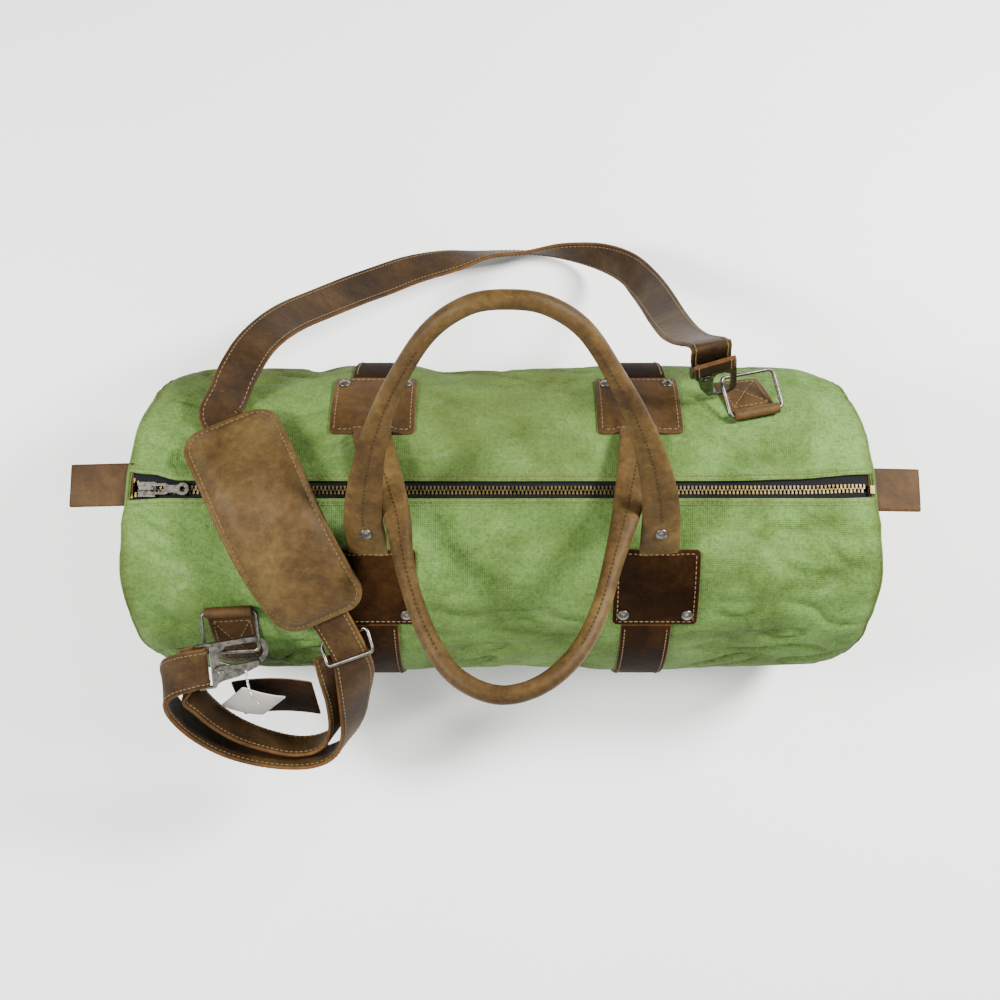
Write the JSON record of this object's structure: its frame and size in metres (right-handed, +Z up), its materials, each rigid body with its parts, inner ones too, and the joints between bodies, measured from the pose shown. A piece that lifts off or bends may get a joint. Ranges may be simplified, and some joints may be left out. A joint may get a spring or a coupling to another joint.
{
  "type": "duffel bag",
  "caption": "Barrel duffel bag in canvas with leather bands, rolled leather handles, a metal zipper and a clip-on padded shoulder strap.",
  "frame": {"origin": "middle of the flat stretch of canvas under the barrel that the bag rests on", "axes": "+X along the barrel towards the zipper's closed end, +Y towards the back, +Z up"},
  "size_m": [0.6358, 0.4816, 0.4124],
  "materials": {
    "green_canvas": "waxed green canvas, mottled",
    "brown_leather": "distressed oiled brown leather",
    "antique_nickel": "antique nickel",
    "antique_brass": "antique brass",
    "black_tape": "black woven tape",
    "cream_card": "matt cream card"
  },
  "bodies": {
    "bag": {"adjuster_ring": "antique_nickel", "band_left": "brown_leather", "band_right": "brown_leather", "canvas_back_panel": "green_canvas", "canvas_bottom_panel": "green_canvas", "canvas_front_panel": "green_canvas", "end_panel_left": "green_canvas", "end_panel_right": "green_canvas", "end_piping_left": "green_canvas", "end_piping_right": "green_canvas", "end_tab_left": "brown_leather", "end_tab_right": "brown_leather", "hang_tag_card": "cream_card", "hang_tag_cover": "brown_leather", "hook_left_frame": "antique_nickel", "hook_left_pin": "antique_nickel", "hook_right_frame": "antique_nickel", "hook_right_pin": "antique_nickel", "patch_back_left": "brown_leather", "patch_back_left_rivet_left": "antique_nickel", "patch_back_left_rivet_right": "antique_nickel", "patch_back_right": "brown_leather", "patch_back_right_rivet_left": "antique_nickel", "patch_back_right_rivet_right": "antique_nickel", "patch_front_left": "brown_leather", "patch_front_left_rivet_left": "antique_nickel", "patch_front_left_rivet_right": "antique_nickel", "patch_front_right": "brown_leather", "patch_front_right_rivet_left": "antique_nickel", "patch_front_right_rivet_right": "antique_nickel", "ring_tab_left": "brown_leather", "ring_tab_right": "brown_leather", "shoulder_pad": "brown_leather", "strap_long": "brown_leather", "strap_loop": "brown_leather", "tag_chain": "antique_nickel", "zipper_bottom_stop": "antique_brass", "zipper_tape_back": "black_tape", "zipper_tape_front": "black_tape", "zipper_teeth_back": "antique_brass", "zipper_teeth_front": "antique_brass"},
    "slider": {"zipper_slider": "antique_nickel"},
    "pull": {"zipper_pull": "antique_nickel"},
    "front_handle": {"handle_front": "brown_leather", "handle_front_rivet_left": "antique_nickel", "handle_front_rivet_right": "antique_nickel"},
    "back_handle": {"handle_back": "brown_leather", "handle_back_rivet_left": "antique_nickel", "handle_back_rivet_right": "antique_nickel"},
    "left_ring": {"ring_left": "antique_nickel"},
    "right_ring": {"ring_right": "antique_nickel"},
    "left_lever": {"hook_left_lever": "antique_nickel"},
    "right_lever": {"hook_right_lever": "antique_nickel"}
  },
  "joints": [
    {"name": "zipper_slide", "type": "slide", "parent": "bag", "child": "slider", "axis": [1, 0, 0], "range_m": [0, 0.5]},
    {"name": "zipper_pull_swing", "type": "hinge", "parent": "slider", "child": "pull", "pos_m": [-0.2594, 0, 0.2453], "axis": [0, -1, 0], "range_deg": [0, 165]},
    {"name": "front_handle_swing", "type": "hinge", "parent": "bag", "child": "front_handle", "pos_m": [0, -0.043, 0.2445], "axis": [1, 0, 0], "range_deg": [0, 85]},
    {"name": "back_handle_swing", "type": "hinge", "parent": "bag", "child": "back_handle", "pos_m": [0, 0.043, 0.2445], "axis": [1, 0, 0], "range_deg": [-85, 0]},
    {"name": "left_ring_swing", "type": "hinge", "parent": "bag", "child": "left_ring", "pos_m": [-0.204, -0.0881, 0.21614], "axis": [0.9976, 0.0514, 0.0471], "range_deg": [-5, 5]},
    {"name": "right_ring_swing", "type": "hinge", "parent": "bag", "child": "right_ring", "pos_m": [0.193, 0.06122, 0.23514], "axis": [0.9703, 0.2136, -0.1136], "range_deg": [-5, 5]},
    {"name": "left_lever_swing", "type": "hinge", "parent": "bag", "child": "left_lever", "pos_m": [-0.21049, -0.13254, 0.20464], "axis": [0.351, -0.3286, 0.8768], "range_deg": [0, 9], "stiffness_Nm_per_rad": 0.05},
    {"name": "right_lever_swing", "type": "hinge", "parent": "bag", "child": "right_lever", "pos_m": [0.15054, 0.08225, 0.25994], "axis": [0.2337, -0.9489, 0.2122], "range_deg": [0, 9], "stiffness_Nm_per_rad": 0.05}
  ],
  "couplings": [
    {"joint": "back_handle_swing", "follows": "front_handle_swing", "ratio": -1}
  ]
}
